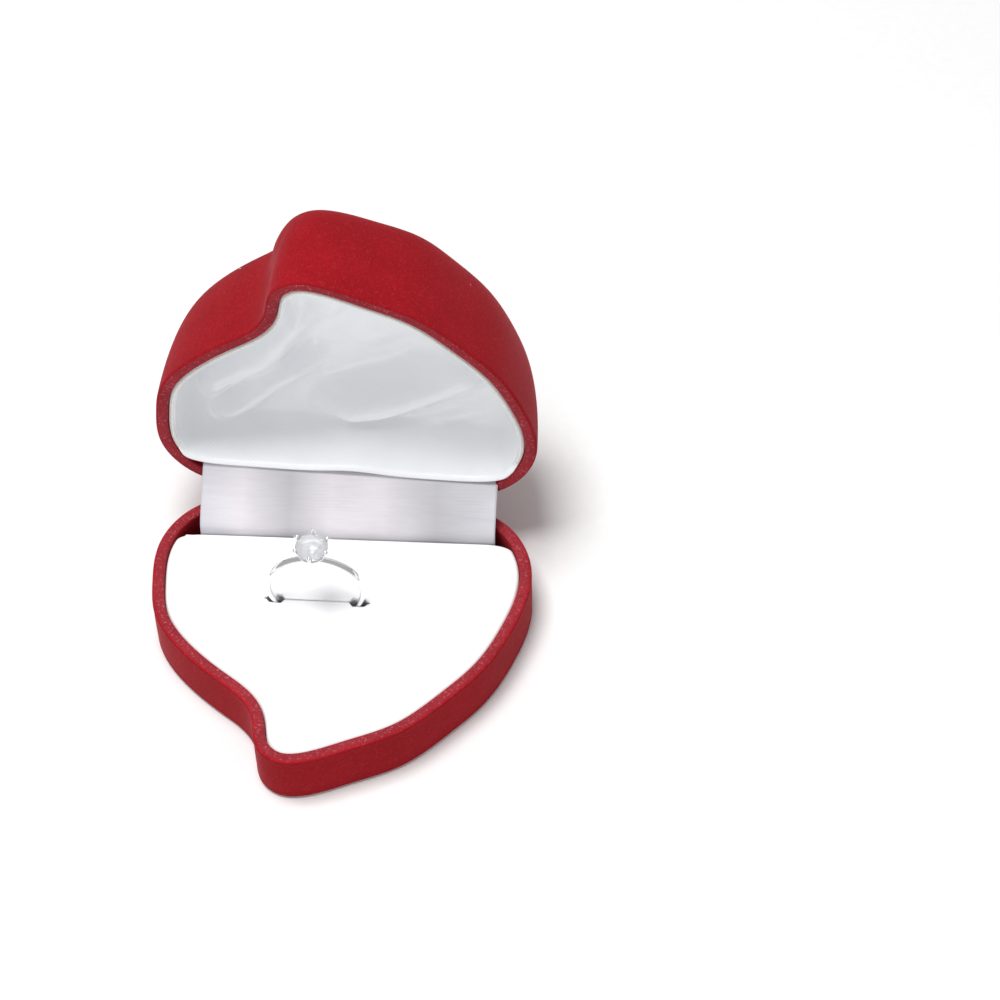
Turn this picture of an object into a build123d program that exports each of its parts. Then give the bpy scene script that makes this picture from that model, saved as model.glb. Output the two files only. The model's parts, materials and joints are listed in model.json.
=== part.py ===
from build123d import *
import math
import os

os.makedirs("parts", exist_ok=True)

# A flocked heart-shaped ring box with a curled tail, shown open on its hinge.
# X runs along the hinge, Y from the tail to the hinge and Z up.
# The origin is on the resting plane. Lengths are in millimetres, angles in degrees.

# Outline of both shells, anticlockwise from the right-hand flank: right lobe, shallow cleft,
# left lobe, left flank, hollow side of the curled tail, tail tip and the long right flank.
OUTLINE = [
    (34.0, 0.0), (36.5, 15.0), (30.5, 26.0), (18.0, 30.2), (8.5, 29.0), (0.0, 27.0),
    (-8.5, 28.6), (-18.0, 30.0), (-31.5, 26.2), (-37.3, 16.5), (-37.2, 7.0), (-35.8, 0.0),
    (-28.5, -10.0), (-21.0, -16.0), (-16.5, -19.5), (-14.0, -23.0), (-11.8, -30.5),
    (-8.0, -33.5), (-1.5, -33.0), (5.5, -30.0), (14.5, -25.5), (23.0, -17.5), (29.5, -9.5),
]
CENTRE_Y = 3.0

# Shells.
BASE_HEIGHT = 12.0
PARTING_GAP = 0.3
LID_HEIGHT = 25.0
WALL = 2.4
FLOOR = 1.6
LID_TOP = 2.0
FOOT_CHAMFER = 0.8
# Share of the lid's height, and size of the outline there: a slight draft, then a round crown.
CROWN = [(0.0, 1.0), (0.64, 0.98), (0.85, 0.915), (0.96, 0.81), (1.0, 0.70)]

# Hinge, in the shallow cleft behind the rear wall.
HINGE_Y = 30.7
HINGE_Z = 12.9
LID_OPEN = 87.0
TAB_LENGTH = 1.35
PIN_RADIUS = 0.6
PIN_LENGTH = 19.0
PIN_HEAD = (0.95, 0.45)
KNUCKLE_RADIUS = 1.1
KNUCKLE_BORE = 0.65
LID_KNUCKLES = [(-9.0, -5.6), (-1.7, 1.7), (5.6, 9.0)]
BASE_KNUCKLES = [(-5.45, -1.85), (1.85, 5.45)]
LEAF_HALF_WIDTH = 9.0
LEAF_THICK = 0.45
LEAF_DROP = 7.5
SEAT_HALF_WIDTH = 10.4
SEAT_Y = 25.4
RIVET_X = 6.0
RIVET_Z = 8.0
RIVET_RADIUS = 0.6
RIVET_HEAD = (1.1, 0.4)
RIVET_GRIP = 1.0
SPRING_HALF_WIDTH = 1.6
SPRING_THICK = 0.22
SPRING_DROP = 6.0
SEAT_SINK = 0.5
LID_SEAT_HEIGHT = 11.5
FIT = 0.05
RIVET_FIT = 0.02

# Ring pad: a card, a foam block and a white velvet skin, with a straight rear edge and a slit.
PAD_TOP = 11.3
PAD_REAR_Y = 20.6
PAD_GAP = 0.25
CARD = 1.0
PAD_SKIN = 0.7
SLIT_LENGTH = 20.4
SLIT_WIDTH = 2.4
SLIT_FLOOR = 4.6

# Lid lining: a moulded card cup that narrows towards its flat top, wadding, and satin.
LINER_TOP_SIZE = 0.86
LINER_HEIGHT = 21.0
LINER_REAR_Y = 23.8
LINER_GAP = 0.3
CUP_CARD = 0.5
WADDING = 0.6
SATIN = 0.4

# Satin strip that covers the hinge.
RIBBON_X = (-29.4, 28.6)
RIBBON_THICK = 0.3
RIBBON_FOOT = (20.95, 5.0)
RIBBON_EDGE = (20.95, 11.7)
RIBBON_BELLY = (24.9, 15.9)
RIBBON_LID_EDGE = (24.15, 12.4)
RIBBON_TUCK = 4.0

# Ring, upright in the slit with its plane along X.
RING_X = -4.5
RING_Y = 4.6
RING_Z = 15.4
RING_OUTER = 9.75
RING_INNER = 8.55
RING_WIDTH = 1.8
BAND_ROUNDING = 0.35
STONE_RADIUS = 3.2
GIRDLE_Z = 28.3
TABLE_RADIUS = 1.8
CROWN_DEPTH = 1.0
PAVILION_DEPTH = 2.6
PRONG_COUNT = 6
PRONG_RADIUS = 0.42
PRONG_LEAN = 0.2
PRONG_RISE = 0.45
FIRST_PRONG = 30.0
BEAD_SIZE = 1.15
COLLAR_RADIUS = 1.5
COLLAR_HEIGHT = 0.9
COLLAR_SINK = 0.3
GALLERY_RADIUS = 2.5
GALLERY_THICK = 0.35
GALLERY_DROP = 1.75
HALF_GIRDLE = 0.1

LID_PLANE = BASE_HEIGHT + PARTING_GAP
NOTCH_FLOOR = HINGE_Z - KNUCKLE_RADIUS - FIT
NOTCH_TOP = HINGE_Z + KNUCKLE_RADIUS + FIT
LEAF_LOW = HINGE_Z - KNUCKLE_RADIUS
LEAF_FRONT = SEAT_Y - LEAF_THICK
# Further than any face of the box, for cutting blocks.
FAR = 60.0
NOTCH_FRONT = 15.0
HINGE_LINE = Axis((0, HINGE_Y, HINGE_Z), (1, 0, 0))


def outline_stations():
    """Places and outward normals at the outline's points and halfway between them."""
    edge = Edge.make_spline([Vector(x, y) for x, y in OUTLINE], periodic=True)
    at_points = [edge.param_at_point(Vector(x, y)) for x, y in OUTLINE[1:]]
    ends = [0.0] + at_points + [1.0]
    stations = []
    for start, end in zip(ends, ends[1:]):
        for share in (start, (start + end) / 2):
            place, along = edge.position_at(share), edge.tangent_at(share)
            stations.append((place.X, place.Y, along.Y, -along.X))
    return stations


STATIONS = outline_stations()


def outline_wire(offset=0.0, scale=1.0, z=0.0):
    """The outline as arcs, moved outwards by offset and then scaled about its middle."""
    points = []
    for x, y, normal_x, normal_y in STATIONS:
        away_y = y + offset * normal_y - CENTRE_Y
        points.append(Vector(scale * (x + offset * normal_x), CENTRE_Y + scale * away_y, z))
    points.append(points[0])
    count = len(OUTLINE)
    arcs = [Edge.make_three_point_arc(*points[2 * i:2 * i + 3]) for i in range(count)]
    return Wire(arcs)


def slab(offset, low, high):
    """The outline, moved outwards by offset and drawn up from low to high."""
    return extrude(Face(outline_wire(offset, 1.0, low)), high - low, dir=(0, 0, 1))


def lofted(offset, height, profile):
    """The outline, moved outwards by offset, drawn up from the lid's rim plane along a profile."""
    wires = [outline_wire(offset, size, LID_PLANE + share * height) for share, size in profile]
    return Solid.make_loft(wires, ruled=True)


def block(x_low, x_high, y_low, y_high, z_low, z_high):
    size = (x_high - x_low, y_high - y_low, z_high - z_low)
    middle = ((x_low + x_high) / 2, (y_low + y_high) / 2, (z_low + z_high) / 2)
    return Pos(*middle) * Box(*size)


def rod(radius, start, end):
    """A round bar from start to end."""
    along = Vector(*end) - Vector(*start)
    plane = Plane(origin=start, z_dir=along)
    return extrude(plane * Circle(radius), along.length)


def mirrored(shape):
    """The same shape on the lid's side of the hinge, box closed."""
    return mirror(shape, about=Plane.XY.offset(HINGE_Z))


def opened(shape):
    """A lid piece turned from closed to open."""
    return shape.rotate(HINGE_LINE, -LID_OPEN)


def opened_point(y, z):
    """Where a point of the closed lid lies in the Y-Z plane when the lid is open."""
    turn = math.radians(LID_OPEN)
    back, up = y - HINGE_Y, z - HINGE_Z
    return (
        HINGE_Y + back * math.cos(turn) + up * math.sin(turn),
        HINGE_Z - back * math.sin(turn) + up * math.cos(turn),
    )


def behind(y):
    """All the space further back than y."""
    return block(-FAR, FAR, y, FAR, -1, FAR)


# ---- hinge ----

def hinge_seat(form, z_low, z_high):
    """The thickened rear wall that a hinge leaf is riveted to, flat on its inner side."""
    return form & block(-SEAT_HALF_WIDTH, SEAT_HALF_WIDTH, SEAT_Y, FAR, z_low, z_high)


def seat_pocket(z_low, z_high):
    """The room in front of a hinge seat, clear down to its flat face."""
    return block(-SEAT_HALF_WIDTH, SEAT_HALF_WIDTH, SEAT_Y - 2 * WALL, SEAT_Y, z_low, z_high)


def hinge_notch(z_low, z_high):
    """The cut through the rear rim that the hinge lies in."""
    return block(-SEAT_HALF_WIDTH, SEAT_HALF_WIDTH, NOTCH_FRONT, FAR, z_low, z_high)


def rivet_shanks(radius):
    """Both rivets' shanks on the base side, from the leaf into the wall."""
    back = SEAT_Y + RIVET_GRIP
    return [rod(radius, (x, LEAF_FRONT, RIVET_Z), (x, back, RIVET_Z)) for x in (-RIVET_X, RIVET_X)]


def rivets():
    head_radius, head_height = RIVET_HEAD
    solids = []
    for x, shank in zip((-RIVET_X, RIVET_X), rivet_shanks(RIVET_RADIUS)):
        low, high = (x, LEAF_FRONT - head_height, RIVET_Z), (x, LEAF_FRONT, RIVET_Z)
        solids.append(shank + rod(head_radius, low, high))
    return Compound(solids)


def knuckle(x_low, x_high):
    """One rolled knuckle with the tab that joins it to its leaf."""
    tab_front = HINGE_Y - TAB_LENGTH
    roll = rod(KNUCKLE_RADIUS, (x_low, HINGE_Y, HINGE_Z), (x_high, HINGE_Y, HINGE_Z))
    tab = block(x_low, x_high, tab_front, HINGE_Y, LEAF_LOW, LEAF_LOW + LEAF_THICK)
    bore = rod(KNUCKLE_BORE, (x_low - 1, HINGE_Y, HINGE_Z), (x_high + 1, HINGE_Y, HINGE_Z))
    return roll + tab - bore


def leaf(knuckles):
    """A stamped hinge leaf on the base side: wall plate, flange over the wall, knuckles."""
    low, high = LEAF_LOW, LEAF_LOW + LEAF_THICK
    half = LEAF_HALF_WIDTH
    wall_plate = block(-half, half, LEAF_FRONT, SEAT_Y, low - LEAF_DROP, high)
    flange = block(-half, half, LEAF_FRONT, HINGE_Y - TAB_LENGTH, low, high)
    shape = wall_plate + flange
    for x_low, x_high in knuckles:
        shape = shape + knuckle(x_low, x_high)
    for hole in rivet_shanks(RIVET_RADIUS + FIT):
        shape = shape - hole
    return shape


def pin():
    head_radius, head_length = PIN_HEAD
    half = PIN_LENGTH / 2
    shape = rod(PIN_RADIUS, (-half, HINGE_Y, HINGE_Z), (half, HINGE_Y, HINGE_Z))
    for side in (-1, 1):
        inner = (side * (half - head_length), HINGE_Y, HINGE_Z)
        outer = (side * half, HINGE_Y, HINGE_Z)
        shape = shape + rod(head_radius, inner, outer)
    return shape


def snap_spring():
    """A thin strip on the base leaf whose tip presses towards the lid's middle knuckle."""
    low = LEAF_LOW + LEAF_THICK
    high = low + SPRING_THICK
    front = LEAF_FRONT - SPRING_THICK
    half = SPRING_HALF_WIDTH
    upright = block(-half, half, front, LEAF_FRONT, low - SPRING_DROP, high)
    tongue = block(-half, half, front, HINGE_Y - TAB_LENGTH - FIT, low, high)
    return upright + tongue


# ---- shells ----

def base_shell():
    outer = slab(0, FOOT_CHAMFER, BASE_HEIGHT)
    foot = Solid.make_loft([outline_wire(-FOOT_CHAMFER), outline_wire(0, 1, FOOT_CHAMFER)], True)
    solid = outer + foot
    above = BASE_HEIGHT + 1
    shape = solid - slab(-WALL, FLOOR, above) - seat_pocket(FLOOR, above)
    shape = shape + hinge_seat(solid, FLOOR - SEAT_SINK, NOTCH_FLOOR)
    shape = shape - hinge_notch(NOTCH_FLOOR, above)
    for hole in rivet_shanks(RIVET_RADIUS + RIVET_FIT):
        shape = shape - hole
    return shape


def lid_shell():
    outer = lofted(0, LID_HEIGHT, CROWN)
    hollow = lofted(-WALL, LID_HEIGHT - LID_TOP, CROWN)
    below = LID_PLANE - 1
    seat_top = LID_PLANE + LID_SEAT_HEIGHT
    shape = outer - hollow - seat_pocket(below, seat_top)
    shape = shape + hinge_seat(outer, NOTCH_TOP, seat_top) - hinge_notch(below, NOTCH_TOP)
    for hole in rivet_shanks(RIVET_RADIUS + RIVET_FIT):
        shape = shape - mirrored(hole)
    return shape


# ---- ring pad ----

def slit():
    """The cut in the pad that grips the ring, open at the top."""
    x_low, x_high = RING_X - SLIT_LENGTH / 2, RING_X + SLIT_LENGTH / 2
    y_low, y_high = RING_Y - SLIT_WIDTH / 2, RING_Y + SLIT_WIDTH / 2
    return block(x_low, x_high, y_low, y_high, SLIT_FLOOR, PAD_TOP + 1)


def pad_block(inset, low, high):
    return slab(-WALL - PAD_GAP - inset, low, high) - behind(PAD_REAR_Y - inset)


def pad_pieces():
    under_skin = PAD_TOP - PAD_SKIN
    low = FLOOR + FIT
    card = pad_block(PAD_SKIN + FIT, low, low + CARD)
    foam = pad_block(PAD_SKIN + FIT, low + CARD, under_skin - FIT) - slit()
    cover = pad_block(0, low, PAD_TOP) - pad_block(PAD_SKIN, low - 1, under_skin) - slit()
    return card, foam, cover


# ---- lid lining ----

def cup_form(inset):
    """The lining's closed form, inset from the lid's inner surface, with a straight rear side."""
    profile = [(0.0, 1.0), (1.0, LINER_TOP_SIZE)]
    form = lofted(-WALL - LINER_GAP - inset, LINER_HEIGHT - inset, profile)
    return form - behind(LINER_REAR_Y - inset)


def lining_layer(outer_inset, thickness):
    return cup_form(outer_inset) - cup_form(outer_inset + thickness)


# ---- hinge strip ----

def ribbon():
    """One strip: up behind the pad, in a slack bow in front of the hinge, into the lid."""
    lid_y, lid_z = RIBBON_LID_EDGE
    lid_edge = opened_point(lid_y, lid_z)
    lid_end = opened_point(lid_y, lid_z + RIBBON_TUCK)
    rise = Line(RIBBON_FOOT, RIBBON_EDGE)
    bow = ThreePointArc(RIBBON_EDGE, RIBBON_BELLY, lid_edge)
    tuck = Line(lid_edge, lid_end)
    section = trace([rise, bow, tuck], RIBBON_THICK)
    placed = Plane(origin=(RIBBON_X[0], 0, 0), x_dir=(0, 1, 0), z_dir=(1, 0, 0)) * section
    return extrude(placed, RIBBON_X[1] - RIBBON_X[0])


# ---- ring ----

def along_y(radius, width):
    return Pos(RING_X, RING_Y, RING_Z) * Rot(90, 0, 0) * Cylinder(radius, width)


def ring_band():
    band = along_y(RING_OUTER, RING_WIDTH) - along_y(RING_INNER, RING_WIDTH + 2)
    return fillet(band.edges().filter_by(GeomType.CIRCLE), BAND_ROUNDING)


def prong(angle):
    """A prong leaning out from the collar, bent up past the girdle to a bead on the stone."""
    out = Vector(math.cos(math.radians(angle)), math.sin(math.radians(angle)), 0)
    foot_radius = COLLAR_RADIUS - PRONG_LEAN
    top_radius = STONE_RADIUS + PRONG_RADIUS + FIT
    foot = Vector(RING_X, RING_Y, RING_Z + RING_OUTER + 2 * FIT) + out * foot_radius
    top = Vector(RING_X, RING_Y, GIRDLE_Z + PRONG_RISE) + out * top_radius
    bead = Pos(*top) * Sphere(PRONG_RADIUS * BEAD_SIZE)
    return rod(PRONG_RADIUS, tuple(foot), tuple(top)) + bead


def ring_setting():
    """Collar, prongs and gallery ring, clear of the band and the stone."""
    collar_low = (RING_X, RING_Y, RING_Z + RING_OUTER - COLLAR_SINK)
    collar_high = (RING_X, RING_Y, RING_Z + RING_OUTER - COLLAR_SINK + COLLAR_HEIGHT)
    shape = rod(COLLAR_RADIUS, collar_low, collar_high)
    for i in range(PRONG_COUNT):
        shape = shape + prong(FIRST_PRONG + 360 / PRONG_COUNT * i)
    gallery = Torus(GALLERY_RADIUS, GALLERY_THICK)
    shape = shape + Pos(RING_X, RING_Y, GIRDLE_Z - GALLERY_DROP) * gallery
    return shape - along_y(RING_OUTER, 2 * RING_OUTER) - ring_stone(FIT)


def ring_stone(room=0.0):
    """A round brilliant: pavilion, girdle and crown."""
    radius = STONE_RADIUS + room
    profile = Polyline(
        (0, GIRDLE_Z - PAVILION_DEPTH - room),
        (radius, GIRDLE_Z - HALF_GIRDLE),
        (radius, GIRDLE_Z + HALF_GIRDLE),
        (TABLE_RADIUS + room, GIRDLE_Z + CROWN_DEPTH + room),
        (0, GIRDLE_Z + CROWN_DEPTH + room),
        close=True,
    )
    section = Plane.XZ * make_face(profile)
    return Pos(RING_X, RING_Y, 0) * revolve(section, Axis.Z)


def save(name, shape):
    export_step(shape, f"parts/{name}.step")


def main():
    card, foam, cover = pad_pieces()
    save("base_shell", base_shell())
    save("pad_card", card)
    save("pad_foam", foam)
    save("pad_cover", cover)
    save("hinge_base_leaf", leaf(BASE_KNUCKLES))
    save("base_leaf_rivets", rivets())
    save("hinge_pin", pin())
    save("snap_spring", snap_spring())
    save("hinge_ribbon", ribbon())
    save("ring_band", ring_band())
    save("ring_setting", ring_setting())
    save("ring_stone", ring_stone())

    save("lid_shell", opened(lid_shell()))
    save("hinge_lid_leaf", opened(mirrored(leaf(LID_KNUCKLES))))
    save("lid_leaf_rivets", opened(mirrored(rivets())))
    save("lining_card", opened(lining_layer(0, CUP_CARD)))
    save("lining_wadding", opened(lining_layer(CUP_CARD + FIT, WADDING)))
    save("lining_satin", opened(lining_layer(CUP_CARD + WADDING + 2 * FIT, SATIN)))


main()
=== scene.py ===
import json
import math

import bpy
import numpy as np
from mathutils import Matrix, Vector


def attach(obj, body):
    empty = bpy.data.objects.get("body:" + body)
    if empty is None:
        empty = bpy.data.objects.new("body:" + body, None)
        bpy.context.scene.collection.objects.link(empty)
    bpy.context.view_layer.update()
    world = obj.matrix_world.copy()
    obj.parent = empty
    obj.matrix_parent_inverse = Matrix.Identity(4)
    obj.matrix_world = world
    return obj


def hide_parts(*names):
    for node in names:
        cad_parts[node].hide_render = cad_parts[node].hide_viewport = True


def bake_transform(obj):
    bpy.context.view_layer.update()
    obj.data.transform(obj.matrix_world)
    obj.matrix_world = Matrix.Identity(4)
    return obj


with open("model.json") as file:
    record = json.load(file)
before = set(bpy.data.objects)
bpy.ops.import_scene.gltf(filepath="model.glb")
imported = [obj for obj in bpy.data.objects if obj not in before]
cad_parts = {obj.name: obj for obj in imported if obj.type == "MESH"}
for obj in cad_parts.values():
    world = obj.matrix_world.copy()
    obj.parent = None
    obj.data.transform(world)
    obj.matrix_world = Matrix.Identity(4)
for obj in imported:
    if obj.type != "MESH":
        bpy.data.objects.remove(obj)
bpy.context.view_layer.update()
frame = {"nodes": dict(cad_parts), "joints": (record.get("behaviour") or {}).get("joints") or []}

# A flocked heart-shaped ring box. Lengths are in millimetres until a mesh is made; MM turns them
# into the frame's metres. Lid parts are shaped with the box closed and then turned open.
MM = 0.001
RANDOM = np.random.default_rng(7)

# Outline of both shells, anticlockwise from the right-hand flank, as in the part's source.
OUTLINE = [
    (34.0, 0.0), (36.5, 15.0), (30.5, 26.0), (18.0, 30.2), (8.5, 29.0), (0.0, 27.0),
    (-8.5, 28.6), (-18.0, 30.0), (-31.5, 26.2), (-37.3, 16.5), (-37.2, 7.0), (-35.8, 0.0),
    (-28.5, -10.0), (-21.0, -16.0), (-16.5, -19.5), (-14.0, -23.0), (-11.8, -30.5),
    (-8.0, -33.5), (-1.5, -33.0), (5.5, -30.0), (14.5, -25.5), (23.0, -17.5), (29.5, -9.5),
]
CENTRE = np.array([0.0, 3.0])
AROUND = 640

HINGE = np.array(frame["joints"][0]["pos_m"]) / MM
OPEN_ANGLE = math.radians(frame["joints"][0]["range_deg"][1])
BASE_TOP = 12.0
LID_PLANE = 12.3
WALL = 2.4
FLOOR = 1.6
SEAT_HALF_WIDTH = 10.4
SEAT_Y = 25.4
# Everything on the outline behind this line belongs to the rear wall.
REAR_Y = 20.0
BASE_NOTCH = -0.25
LID_NOTCH = 1.7

# The lid's height above its rim is greatest at the tail and falls towards the hinge.
LID_HEIGHT = 25.3
LID_SLOPE = -0.055
CROWN_POWER = 12.0
CROWN_ROUND = 1.7
LID_THICK = 2.2


# ---- curves in the plane ----

def periodic_spline(points, count):
    """Points at equal distances along the closed cubic spline through the given points."""
    knots = np.array(points, float)
    n = len(knots)
    steps = np.linalg.norm(np.roll(knots, -1, 0) - knots, axis=1)
    system = np.zeros((n, n))
    right = np.zeros((n, 2))
    slopes = (np.roll(knots, -1, 0) - knots) / steps[:, None]
    for i in range(n):
        before, after = steps[i - 1], steps[i]
        system[i, i - 1] += before
        system[i, i] += 2 * (before + after)
        system[i, (i + 1) % n] += after
        right[i] = 6 * (slopes[i] - slopes[i - 1])
    bend = np.linalg.solve(system, right)
    fine = []
    for i in range(n):
        j = (i + 1) % n
        t = np.linspace(0, steps[i], 60, endpoint=False)[:, None]
        back = steps[i] - t
        fine.append(
            (bend[i] * back ** 3 + bend[j] * t ** 3) / (6 * steps[i])
            + (knots[i] / steps[i] - bend[i] * steps[i] / 6) * back
            + (knots[j] / steps[i] - bend[j] * steps[i] / 6) * t
        )
    fine = np.concatenate(fine)
    closed = np.vstack([fine, fine[:1]])
    run = np.concatenate([[0], np.cumsum(np.linalg.norm(np.diff(closed, axis=0), axis=1))])
    places = np.linspace(0, run[-1], count, endpoint=False)
    return np.stack([np.interp(places, run, closed[:, k]) for k in (0, 1)], -1)


def smoothed(values, width):
    """A closed row of values, averaged over its neighbours."""
    reach = np.arange(-3 * width, 3 * width + 1)
    weights = np.exp(-0.5 * (reach / width) ** 2)
    weights /= weights.sum()
    total = np.zeros_like(values, float)
    for shift, weight in zip(reach, weights):
        total += weight * np.roll(values, shift, 0)
    return total


def outward(curve):
    along = np.roll(curve, -1, 0) - np.roll(curve, 1, 0)
    normal = np.stack([along[:, 1], -along[:, 0]], -1)
    return normal / np.linalg.norm(normal, axis=1)[:, None]


def inset(curve, distance):
    """The closed curve moved inwards, less where it bends too tightly for that."""
    normal = outward(curve)
    turn = np.linalg.norm(np.roll(normal, -1, 0) - np.roll(normal, 1, 0), axis=1)
    run = np.linalg.norm(np.roll(curve, -1, 0) - np.roll(curve, 1, 0), axis=1)
    radius = run / np.maximum(turn, 1e-6)
    allowed = np.minimum(distance, 0.72 * radius)
    return curve - normal * smoothed(allowed, 6)[:, None]


def scaled(curve, share):
    return CENTRE + share * (curve - CENTRE)


def soft_step(value, low, high):
    t = np.clip((value - low) / (high - low), 0, 1)
    return t * t * (3 - 2 * t)


def soft_min(a, b, width):
    h = np.clip(0.5 + 0.5 * (b - a) / width, 0, 1)
    return b + (a - b) * h - width * h * (1 - h)


def cut_behind(curve, line_y, corner):
    """The closed curve with everything behind the line y = line_y(x) cut off, corners rounded."""
    ray = curve - CENTRE
    reach = np.linalg.norm(ray, axis=1)
    ray = ray / reach[:, None]
    slope = line_y(1.0) - line_y(0.0)
    rise = np.maximum(ray[:, 1] - slope * ray[:, 0], 1e-3)
    limit = (line_y(0.0) - CENTRE[1]) / rise
    return CENTRE + ray * soft_min(reach, limit, corner)[:, None]


def polyline_distance(x, y, points):
    """Distance from each place to a smooth line through the points, and how far along it."""
    line = open_spline(points, 48)
    start, step = line[:-1], np.diff(line, axis=0)
    length = (step ** 2).sum(1)
    best = np.full(x.shape, 1e9)
    share = np.zeros(x.shape)
    for k in range(len(start)):
        dx, dy = x - start[k, 0], y - start[k, 1]
        t = np.clip((dx * step[k, 0] + dy * step[k, 1]) / length[k], 0, 1)
        ox, oy = dx - t * step[k, 0], dy - t * step[k, 1]
        gap = np.hypot(ox, oy)
        nearer = gap < best
        best = np.where(nearer, gap, best)
        share = np.where(nearer, (k + t) / len(start), share)
    return best, share


def open_spline(points, count):
    """Points on the Catmull-Rom curve through the given points."""
    knots = np.array(points, float)
    knots = np.vstack([2 * knots[0] - knots[1], knots, 2 * knots[-1] - knots[-2]])
    spans = len(knots) - 3
    places = np.linspace(0, spans - 1e-9, count)
    result = []
    for place in places:
        i = int(place)
        t = place - i
        a, b, c, d = knots[i:i + 4]
        result.append(
            b + 0.5 * t * (c - a + t * (2 * a - 5 * b + 4 * c - d + t * (3 * (b - c) + d - a)))
        )
    return np.array(result)


def opened(points):
    """Places on the closed lid, turned about the hinge to where the open lid has them."""
    back = points[..., 1] - HINGE[1]
    up = points[..., 2] - HINGE[2]
    y = HINGE[1] + back * math.cos(OPEN_ANGLE) + up * math.sin(OPEN_ANGLE)
    z = HINGE[2] - back * math.sin(OPEN_ANGLE) + up * math.cos(OPEN_ANGLE)
    return np.stack([points[..., 0], y, z], -1)


# ---- meshes ----

def mesh_object(name, points, faces, smooth=True):
    mesh = bpy.data.meshes.new(name)
    mesh.from_pydata((points * MM).tolist(), [], faces)
    mesh.validate()
    if smooth:
        mesh.shade_smooth()
    else:
        mesh.shade_flat()
    piece = bpy.data.objects.new(name, mesh)
    bpy.context.scene.collection.objects.link(piece)
    return piece


def ring_faces(rows, around):
    """Quads between neighbouring closed rows of points."""
    faces = []
    for j in range(rows - 1):
        low = j * around
        high = low + around
        for i in range(around):
            k = (i + 1) % around
            faces.append((low + i, low + k, high + k, high + i))
    return faces


def give_material(piece, slot, first_row, last_row):
    """Gives the faces between two rows of a swept form one of the piece's further materials."""
    polygons = piece.data.polygons
    index = np.zeros(len(polygons), np.int32)
    polygons.foreach_get("material_index", index)
    index[first_row * AROUND:last_row * AROUND] = slot
    polygons.foreach_set("material_index", index)


def swept_solid(name, rows, first_centre, last_centre, turn=None):
    """A closed form from closed rows of points, each end shut with a fan to one point. The points
    are moved by turn where it is given."""
    around = rows.shape[1]
    points = rows.reshape(-1, 3)
    faces = ring_faces(len(rows), around)
    first, last = len(points), len(points) + 1
    points = np.vstack([points, first_centre, last_centre])
    tail = (len(rows) - 1) * around
    for i in range(around):
        k = (i + 1) % around
        faces.append((first, k, i))
        faces.append((last, tail + i, tail + k))
    if turn is not None:
        points = turn(points)
    return mesh_object(name, points, faces)


def sheet_solid(name, grid, thickness):
    """An open sheet of points made into a closed sheet of the given thickness."""
    rows, cols = grid.shape[:2]
    along = np.gradient(grid, axis=0)
    across = np.gradient(grid, axis=1)
    normal = np.cross(across, along)
    normal /= np.maximum(np.linalg.norm(normal, axis=2), 1e-9)[..., None]
    sides = [grid + normal * thickness / 2, grid - normal * thickness / 2]
    points = np.vstack([side.reshape(-1, 3) for side in sides])
    back = rows * cols
    faces = []
    for j in range(rows - 1):
        for i in range(cols - 1):
            corner = j * cols + i
            quad = (corner, corner + 1, corner + cols + 1, corner + cols)
            faces.append(quad)
            faces.append(tuple(back + k for k in reversed(quad)))
    border = [(0, i) for i in range(cols - 1)]
    border += [(j, cols - 1) for j in range(rows - 1)]
    border += [(rows - 1, i) for i in range(cols - 1, 0, -1)]
    border += [(j, 0) for j in range(rows - 1, 0, -1)]
    loop = [j * cols + i for j, i in border]
    for a, b in zip(loop, loop[1:] + loop[:1]):
        faces.append((b, a, back + a, back + b))
    return mesh_object(name, points, faces)


def round_tube(path, radii, sides=14):
    """Closed tube round a path of points, with a radius at each."""
    path = np.array(path, float)
    along = np.gradient(path, axis=0)
    along /= np.linalg.norm(along, axis=1)[:, None]
    seed = np.array([0.0, 0.0, 1.0]) if abs(along[0][2]) < 0.9 else np.array([0.0, 1.0, 0.0])
    points = []
    for place, direction, radius in zip(path, along, radii):
        u = np.cross(direction, seed)
        u /= np.linalg.norm(u)
        v = np.cross(direction, u)
        for k in range(sides):
            angle = 2 * math.pi * k / sides
            points.append(place + radius * (u * math.cos(angle) + v * math.sin(angle)))
    faces = ring_faces(len(path), sides)
    points += [path[0], path[-1]]
    first, last = len(points) - 2, len(points) - 1
    tail = (len(path) - 1) * sides
    for k in range(sides):
        m = (k + 1) % sides
        faces.append((first, m, k))
        faces.append((last, tail + k, tail + m))
    return np.array(points), faces


def torus_faces(steps, sides):
    """Quads of a tube that closes on itself."""
    faces = []
    for i in range(steps):
        j = (i + 1) % steps
        for k in range(sides):
            m = (k + 1) % sides
            faces.append((i * sides + k, j * sides + k, j * sides + m, i * sides + m))
    return faces


def merged(parts):
    """Several (points, faces) parts as one."""
    points, faces, count = [], [], 0
    for part_points, part_faces in parts:
        points.append(part_points)
        faces += [tuple(count + i for i in face) for face in part_faces]
        count += len(part_points)
    return np.vstack(points), faces


# ---- the lid's relief, in the closed lid's own plane ----

ROSE = (-16.0, 18.0)
ROSE_HEART = (-15.4, 19.6)
ROSE_RADIUS = 11.4
# The radii at which the spiral of petals has made each number of turns.
PETAL_RADII = (0, 0.9, 2.5, 4.4, 6.9, 9.3, 12.0)
PETAL_TURNS = (-0.5, 0, 1, 2, 3, 4, 5)


def rope(u):
    """Rounded cross-section of one petal's edge: 0 in the grooves at u = 0 and 1, 1 between."""
    return 1 - np.abs(2 * u - 1) ** 5


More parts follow.
